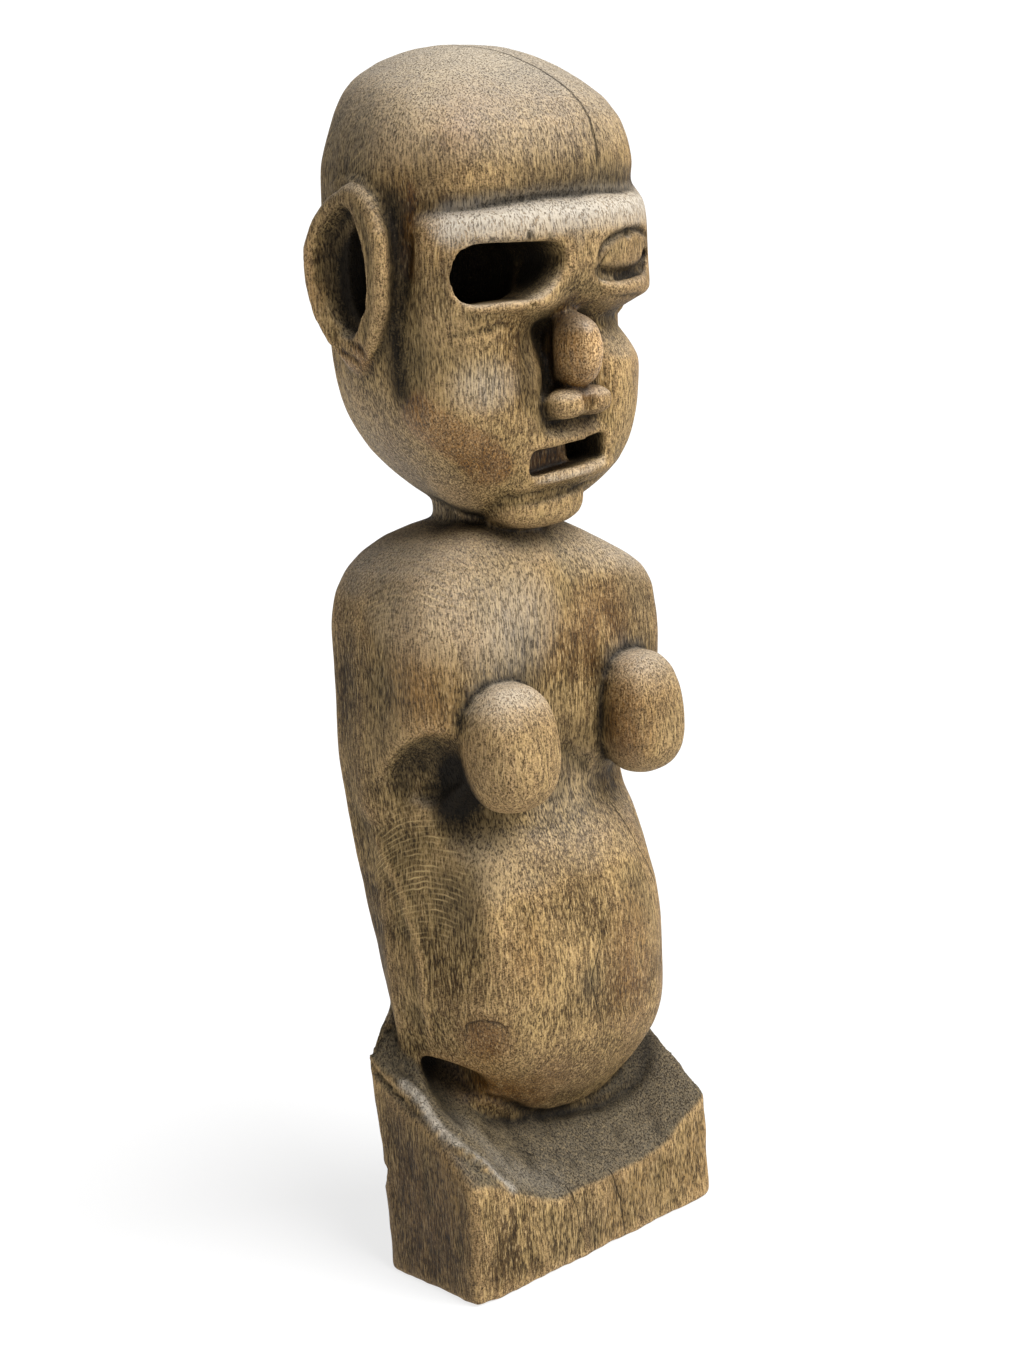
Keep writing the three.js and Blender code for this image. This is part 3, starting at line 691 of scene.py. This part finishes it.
# Soot with painted shade: besides the soot on the scoop's ledges, the block's side at negative x, away from
# the key light, and a band on the forehead just above the brow groove are darkened where shade falls
soot_and_shade = np.maximum(ledges, from_places((
    ((-66, 0, 30), (11, 44, 56), 0.85),
    ((-58, 0, 400), (18, 20, 30), 0.6),
    ((-60, 16, 420), (26, 40, 38), 0.85),
    ((-40, -6, 268), (36, 36, 20), 0.4),
    ((-20, -28, 212), (30, 12, 14), 0.3),
    ((34, -32, 206), (17, 16, 28), 0.55),
    ((-3, -32, 110), (8, 8, 10), 0.9),
    ((28, -29, 135), (14, 12, 20), 0.6),
    ((-46, -11, 150), (13, 14, 22), 0.5),
    ((44, -21, 249), (20, 14, 16), 0.45),
    ((-48, -23, 408), (14, 13, 15), 0.55),
    ((6, -38, 404), (42, 11, 9), 0.75),
    ((16, -38, 416), (12, 10, 12), 0.4),
    ((-18, -34, 338), (8, 8, 14), 0.5),
)))
dust = np.clip(upward * 1.3 - 0.3, 0, 1) * np.clip(1 - shelter * 1.4, 0, 1)
dust = np.maximum(dust, from_places((
    ((-4, 4, 446), (82, 70, 50), 1.1),
    ((-52, 20, 300), (50, 40, 45), 0.5),
    ((-44, -10, 262), (34, 34, 26), 0.5),
    ((-26, -28, 252), (30, 16, 30), 0.6),
    ((-36, -34, 228), (20, 16, 8), 0.9),
    ((34, -34, 228), (20, 16, 9), 0.7),
    ((-38, -32, 335), (16, 12, 10), 0.55),
    ((5, -30, 176), (34, 18, 26), 0.4),
)))
dust = dust * (1 - 0.85 * np.clip(soot_and_shade, 0, 1))
dust = np.maximum(dust, from_lines([
    ([(-45, -29, 390), (-28, -38, 391), (0, -43, 392), (28, -40, 392), (45, -30, 392)], 9.0, 1.4),
    ([(-60, 12, 77), (-59, 4, 73), (-60, -5, 66), (-57, -15, 58), (-50, -22, 50), (-42, -26, 41)],
     2.8, 1.1),
    ([(-50, -4, 60), (-44, -14, 50), (-34, -20, 42), (-20, -23, 35)], 9.0, 0.3),
    ([(-17, -32, 298.6), (-6, -34, 299.6), (5, -35, 300.6), (15, -33, 302)], 1.6, 1.0),
]))

# %% Polish where hands went, and the arcs left by the gouge, whose crests get a painted highlight
polish = np.maximum(from_lines([
    ([(-53, -15, 326), (-50, -20, 321), (-45, -24, 316), (-40, -26, 313), (-32, -26, 306)], 9.0, 2.2),
    ([(-51.7, -15, 402), (-52, -14, 389), (-52, -13, 375)], 4.0, 1.1),
    ([(-42, 4, 82), (-36, -4, 74), (-28, -10, 68), (-18, -14, 60)], 12.0, 0.9),
]), from_places((
    ((1, -42, 344), (13, 18, 21), 1.7),
    ((-43, -17, 96), (12, 12, 14), 0.9),
    ((20, -34, 203), (11, 12, 20), 0.9),
    ((44, -28, 330), (13, 13, 13), 0.5),
    ((-30, -26, 428), (22, 16, 14), 0.45),
    ((0, -2, 284), (26, 24, 9), 0.7),
    ((-60, 10, 346), (8, 10, 8), 0.9),
    ((-63, 26, 380), (7, 8, 24), 0.6),
    ((-6, -24, 304.5), (15, 7.5, 8), 1.8),
    ((-38, -28, 422), (12, 10, 11), 0.8),
    ((-58, -10, 230), (14, 16, 20), 0.5),
    ((20, -23, 242), (20, 10, 20), 0.6),
    ((0, -23, 238), (14, 10, 16), 0.4),
    ((20, -31, 110), (16, 14, 34), 0.6),
    ((-20, -19, 74), (18, 12, 14), 0.6),
    ((-66, 0, 30), (11, 44, 50), 0.4),
    ((22, -26, 240), (22, 10, 22), 0.4),
    ((50, -20, 110), (16, 24, 36), 0.4),
)))
arcs = from_places((
    ((-54, 2, 160), (15, 24, 30), 1.4),
    ((-48, 4, 262), (26, 36, 22), 0.5),
))
masks = {"grime_and_shade": grime_and_shade, "wear_and_sheen": wear_and_sheen, "dust": dust, "soot_and_shade": soot_and_shade, "polish": polish, "arcs": arcs}
for name, values in masks.items():
    write_mask(figure.data, name, net.spread(values, 2))
    print(name, "mean", round(values.mean(), 3))

# %% [markdown]
# ## Old wood
# One material covers the figure, because it is one log. Its colour is worked out in layers, from the
# wood outwards: growth rings round the heart of the log, long fibres, dark pores, then the smoke, soot
# and grime of use with painted shade in the hollows, honey-coloured polish, a painted sheen on the nose,
# painted highlights on the crests of the gouge arcs, and grey dust last. All of it reads Object
# coordinates, so the grain runs through the solid and shows rings where the carver cut across it, as real
# wood does.

# %% Helpers for the material
wood.use_nodes = True
tree = wood.node_tree
shader = tree.nodes["Principled BSDF"]
whereabouts = add_node(tree, "ShaderNodeTexCoord", output="Object")


def vector_maths(operation, first, second=(0, 0, 0), output=0):
    return add_node(tree, "ShaderNodeVectorMath", {"operation": operation}, {0: first, 1: second}, output)


def scaled(vector, across, along_grain):
    return vector_maths("MULTIPLY", vector, (across, across, along_grain))


def noise_at(vector, detail=2.0, roughness=0.5, output=0):
    """Noise whose features are as large as one unit of the vector."""
    sockets = {"Vector": vector, "Scale": 1.0, "Detail": detail, "Roughness": roughness}
    return add_node(tree, "ShaderNodeTexNoise", None, sockets, output)


def mask(name):
    return add_node(tree, "ShaderNodeAttribute", {"attribute_name": name}, None, output="Fac")


def distance_to(place):
    away = vector_maths("SUBTRACT", bent, tuple(part * MM for part in place))
    return vector_maths("LENGTH", away, output="Value") / MM


def part_of(vector, axis):
    return add_node(tree, "ShaderNodeSeparateXYZ", None, {0: vector}, axis) / MM


# %% The grain's own coordinates
HEART = (22, 16, 0)
KNOT = (-43, -17, 97)
drift = vector_maths("SUBTRACT", noise_at(scaled(whereabouts, 16, 16), output="Color"), (0.5, 0.5, 0.5))
bent = vector_maths("ADD", whereabouts, scaled(drift, 0.005, 0.005))
tremble = vector_maths("SUBTRACT", noise_at(scaled(whereabouts, 260, 260), output="Color"), (0.5, 0.5, 0.5))
shaken = vector_maths("ADD", whereabouts, scaled(tremble, 0.0012, 0.0012))
from_knot = distance_to(KNOT) + (noise_at(scaled(whereabouts, 130, 130)) - 0.5) * 7
knot = 1 - from_knot.between(5, 12)
from_heart = vector_maths("SUBTRACT", bent, tuple(part * MM for part in HEART))
across = vector_maths("LENGTH", scaled(from_heart, 1, 0.03), output="Value") / MM

# %% Rings, fibres and pores
RING = 2.4
rings = across.maths("SINE", across * (2 * math.pi / RING)) * 0.5 + 0.5
knot_rings = across.maths("SINE", from_knot * 3.4) * 0.5 + 0.5
fibres = noise_at(scaled(bent, 1250, 140), detail=3.0, roughness=0.6)
streaks = noise_at(scaled(bent, 420, 22), detail=3.0)
flecks = noise_at(scaled(bent, 1800, 360), detail=1.0, roughness=0.5)
pores = 1 - flecks.between(0.36, 0.46)
sparks = flecks.between(0.58, 0.72)
clouds = noise_at(scaled(whereabouts, 26, 18), detail=3.0)
speckle = noise_at(scaled(whereabouts, 1500, 1500), detail=2.0, roughness=0.7)
calm = 1 - mask("arcs").clamped() * 0.6
grain = (fibres - 0.5) * 2.0 + (streaks - 0.5) * 0.8
tone = 0.47 + mask("arcs") * 0.12 + calm * grain + (rings - 0.5) * 0.1
tone = tone + (clouds - 0.5) * 1.3 + (speckle - 0.5) * 0.7 + knot * (knot_rings - 0.9) * 0.35

# %% Arcs left by the gouge, with a painted highlight along their crests
ARC_BEND = 0.0208
ARC_STEP = 2.1
depth_back = part_of(shaken, 1) + 1
arc_height = part_of(shaken, 2) + ARC_BEND * depth_back * depth_back
arc_height = arc_height + (noise_at(scaled(whereabouts, 60, 60)) - 0.5) * 2.2
arc_wave = arc_height.maths("SINE", arc_height * (2 * math.pi / ARC_STEP)) * 0.5 + 0.5
arc_patches = noise_at(scaled(whereabouts, 110, 260), detail=2.0).between(0.42, 0.7)
arc_lines = arc_wave ** 4 * mask("arcs").clamped() * (0.15 + arc_patches)
skull_arcs = distance_to((-40, -10, 385))
skull_wave = skull_arcs.maths("SINE", skull_arcs * 2.6) * 0.5 + 0.5
skull_patch = noise_at(scaled(whereabouts, 70, 70)).between(0.5, 0.72)
skull_patch = skull_patch * part_of(whereabouts, 2).between(402, 415)
arc_lines = arc_lines + skull_wave ** 6 * skull_patch * 0.35


# %% Cracks on the front
def crack_in_front(corners, half_width):
    """A crack seen from the front, through a few (x, z) corners in millimetres."""
    flat = vector_maths("MULTIPLY", shaken, (1000, 0, 1000))
    total = None
    for start, end in zip(corners, corners[1:]):
        reach = (end[0] - start[0], 0, end[1] - start[1])
        offset = vector_maths("SUBTRACT", flat, (start[0], 0, start[1]))
        share = vector_maths("DOT_PRODUCT", offset, reach, output="Value") / (reach[0]**2 + reach[2]**2)
        share = share.clamped()
        spread = add_node(tree, "ShaderNodeCombineXYZ", None, {0: share, 1: share, 2: share})
        miss = vector_maths("SUBTRACT", offset, vector_maths("MULTIPLY", spread, reach))
        line = 1 - vector_maths("LENGTH", miss, output="Value").between(half_width * 0.4, half_width)
        total = line if total is None else total.maths("MAXIMUM", total, line)
    return total * (1 - part_of(whereabouts, 1).between(-14, -8))


FRONT_CRACKS = (
    ([(-15, 31), (-13, 25), (-11, 12)], 0.35),
    ([(7, 30), (11, 17), (13, 0)], 0.35),
    ([(3, 93), (-3, 111), (3, 125)], 0.35),
    ([(26, 171), (35, 151), (43, 136)], 0.4),
    ([(-34, 56), (-28, 47), (-20, 42)], 0.4),
)
cracks = crack_in_front(*FRONT_CRACKS[0])
for corners, half_width in FRONT_CRACKS[1:]:
    cracks = cracks.maths("MAXIMUM", cracks, crack_in_front(corners, half_width))

# %% The crack over the skull and the edge of the knot
FORE_CRACK_X = 14
FORE_CRACK_Y = -39
FORE_CRACK_BEND = 0.0095
crack_y = part_of(shaken, 1) - FORE_CRACK_Y
crack_miss = (part_of(shaken, 0) - (FORE_CRACK_X - FORE_CRACK_BEND * crack_y * crack_y)).size()
top_of_head = part_of(whereabouts, 2).between(403, 409) * (1 - part_of(whereabouts, 1).between(4, 12))
cracks = cracks.maths("MAXIMUM", cracks, (1 - crack_miss.between(0.25, 0.8)) * top_of_head)
knot_edge = 1 - (from_knot - 8.5).size().between(0.3, 0.9)
knot_edge = knot_edge * part_of(whereabouts, 2).between(97, 102)
cracks = cracks.maths("MAXIMUM", cracks, knot_edge * 0.8)
print("cracks:", len(FRONT_CRACKS), "on the front and one over the skull")


# %% Colour in layers
def layer(below, above, amount):
    settings = {"data_type": "RGBA", "blend_type": "MIX", "clamp_factor": True}
    return add_node(tree, "ShaderNodeMix", settings, {0: amount, 6: below, 7: above}, output=2)


DARK_WOOD = (0.050, 0.028, 0.0095, 1)
PALE_WOOD = (0.36, 0.245, 0.100, 1)
PORE = (0.012, 0.007, 0.003, 1)
SPARK = (0.55, 0.40, 0.20, 1)
SMOKE = (0.046, 0.040, 0.030, 1)
SOOT_AND_SHADE = (0.044, 0.038, 0.025, 1)
AMBER = (0.090, 0.036, 0.004, 1)
HONEY = (0.24, 0.105, 0.015, 1)
DUST = (0.50, 0.455, 0.385, 1)
GRIME_AND_SHADE = (0.004, 0.003, 0.002, 1)
WORN_AND_SHEEN = (0.68, 0.44, 0.21, 1)
GOUGE_CREST_HIGHLIGHT = (0.62, 0.44, 0.20, 1)

colour = layer(DARK_WOOD, PALE_WOOD, tone.between(0.05, 1.0))
warmth = noise_at(scaled(whereabouts, 24, 15), detail=4.0).between(0.5, 0.68)
colour = layer(colour, layer(AMBER, HONEY, tone.between(0.3, 1.0)), warmth * 0.32)
smoke = noise_at(scaled(whereabouts, 13, 9), detail=4.0).between(0.47, 0.66) * speckle.between(0.3, 0.6)
colour = layer(colour, SMOKE, smoke * 0.5)
# Soot with painted shade, on the ledges, the block's shaded side and the forehead above the brow
soot_and_shade = (mask("soot_and_shade") * (0.35 + speckle * 0.8 + clouds * 0.4)).clamped()
colour = layer(colour, SOOT_AND_SHADE, soot_and_shade * 0.8)
polish_patches = noise_at(scaled(bent, 120, 50), detail=3.0).between(0.2, 0.5)
polish = (mask("polish") * 1.4 * polish_patches).clamped()
amber = layer(AMBER, HONEY, tone.between(0.4, 1.2))
colour = layer(colour, amber, polish * 0.94)
colour = layer(colour, PORE, pores * 0.75)
colour = layer(colour, SPARK, sparks * 0.4 * (1 - soot_and_shade * 0.7))
# Wear on ridges, with a painted sheen on the nose
wear_and_sheen = mask("wear_and_sheen") * speckle.between(0.3, 0.7) * (1 - soot_and_shade)
colour = layer(colour, WORN_AND_SHEEN, wear_and_sheen * 0.62)
# A painted highlight along the crests of the gouge arcs, over their relief
colour = layer(colour, GOUGE_CREST_HIGHLIGHT, arc_lines * 0.9)
dust = (mask("dust") * (0.2 + speckle * 0.6 + fibres * 0.5)).clamped()
colour = layer(colour, DUST, dust * (0.85 - pores * 0.5))
# Grime with painted shade, near-black in hollows, holes and under overhangs
grime_and_shade = (mask("grime_and_shade") * (0.3 + speckle * 0.7 + fibres * 0.6)).clamped()
colour = layer(colour, GRIME_AND_SHADE, grime_and_shade * 0.97)
colour = layer(colour, GRIME_AND_SHADE, cracks * 0.6)

# %% Roughness and relief
BARE_ROUGHNESS = 0.64
RELIEF_STRENGTH = 0.9
RELIEF_HEIGHT = 0.7 * MM
COAT_OF_POLISH = 0.14
COAT_ROUGHNESS = 0.3
SHINE = 0.12
roughness = BARE_ROUGHNESS + dust * 0.2 - polish * 0.28
relief = fibres * 0.55 + speckle * 0.3 - pores * 0.55 + arc_lines * 0.9 - cracks * 2.0
sockets = {"Strength": RELIEF_STRENGTH, "Distance": RELIEF_HEIGHT, "Height": relief}
bump = add_node(tree, "ShaderNodeBump", None, sockets)
tree.links.new(colour.output, shader.inputs["Base Color"])
tree.links.new(roughness.output, shader.inputs["Roughness"])
tree.links.new(bump.output, shader.inputs["Normal"])
coat = polish * COAT_OF_POLISH
tree.links.new(coat.output, shader.inputs["Coat Weight"])
shader.inputs["Coat Roughness"].default_value = COAT_ROUGHNESS
shader.inputs["Specular IOR Level"].default_value = SHINE
print("wood material:", len(tree.nodes), "nodes")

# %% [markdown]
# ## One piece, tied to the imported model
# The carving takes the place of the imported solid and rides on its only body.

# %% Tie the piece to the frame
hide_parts("figure")
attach(figure, "root")
print("tied:", figure.name)

# %% [markdown]
# ## Floor and light
# A studio photograph of a carving usually has a white ground that glows a little, like a light table,
# so that even the shadow on it stays pale. One large soft key light models the form. The sky is pale
# only near the horizon, where the camera sees it, and dim overhead, so the sides of the figure stay dark.

# %% Floor
FLOOR_HALF = 60.0
PAPER_GREY = 0.24
PAPER_GLOW = 0.76
floor_mesh = bpy.data.meshes.new("floor")
corners = [(-FLOOR_HALF, -FLOOR_HALF, 0), (FLOOR_HALF, -FLOOR_HALF, 0)]
corners += [(FLOOR_HALF, FLOOR_HALF, 0), (-FLOOR_HALF, FLOOR_HALF, 0)]
floor_mesh.from_pydata(corners, [], [(0, 1, 2, 3)])
floor = bpy.data.objects.new("floor", floor_mesh)
bpy.context.collection.objects.link(floor)
paper = bpy.data.materials.new("lit_paper")
paper.use_nodes = True
paper_shader = paper.node_tree.nodes["Principled BSDF"]
paper_shader.inputs["Base Color"].default_value = (PAPER_GREY, PAPER_GREY, PAPER_GREY, 1)
paper_shader.inputs["Roughness"].default_value = 0.95
paper_shader.inputs["Specular IOR Level"].default_value = 0.0
paper_shader.inputs["Emission Color"].default_value = (1, 1, 1, 1)
paper_shader.inputs["Emission Strength"].default_value = PAPER_GLOW
floor_mesh.materials.append(paper)
print("floor:", 2 * FLOOR_HALF, "m wide")

# %% Sky and key light
SKY_OVERHEAD = 0.22
SKY_HORIZON = 1.1
SUN_STRENGTH = 5.6
SUN_WIDTH = math.radians(50)
TOWARD_SUN = Vector((0.22, -0.60, 0.77))
world = bpy.data.worlds.new("studio")
bpy.context.scene.world = world
world.use_nodes = True
sky = world.node_tree
background = sky.nodes["Background"]
background.inputs["Color"].default_value = (1, 1, 1, 1)
direction = add_node(sky, "ShaderNodeTexCoord", output="Generated")
upwards = add_node(sky, "ShaderNodeSeparateXYZ", None, {0: direction}, output="Z")
brightness = SKY_HORIZON + (SKY_OVERHEAD - SKY_HORIZON) * upwards.between(0.09, 0.16)
sky.links.new(brightness.output, background.inputs["Strength"])
lamp = bpy.data.lights.new("soft_key", "SUN")
lamp.energy = SUN_STRENGTH
lamp.angle = SUN_WIDTH
key = bpy.data.objects.new("soft_key", lamp)
bpy.context.collection.objects.link(key)
key.rotation_euler = TOWARD_SUN.to_track_quat("Z", "Y").to_euler()
bpy.context.scene.view_settings.view_transform = "Standard"
print("lights:", len(bpy.data.lights))
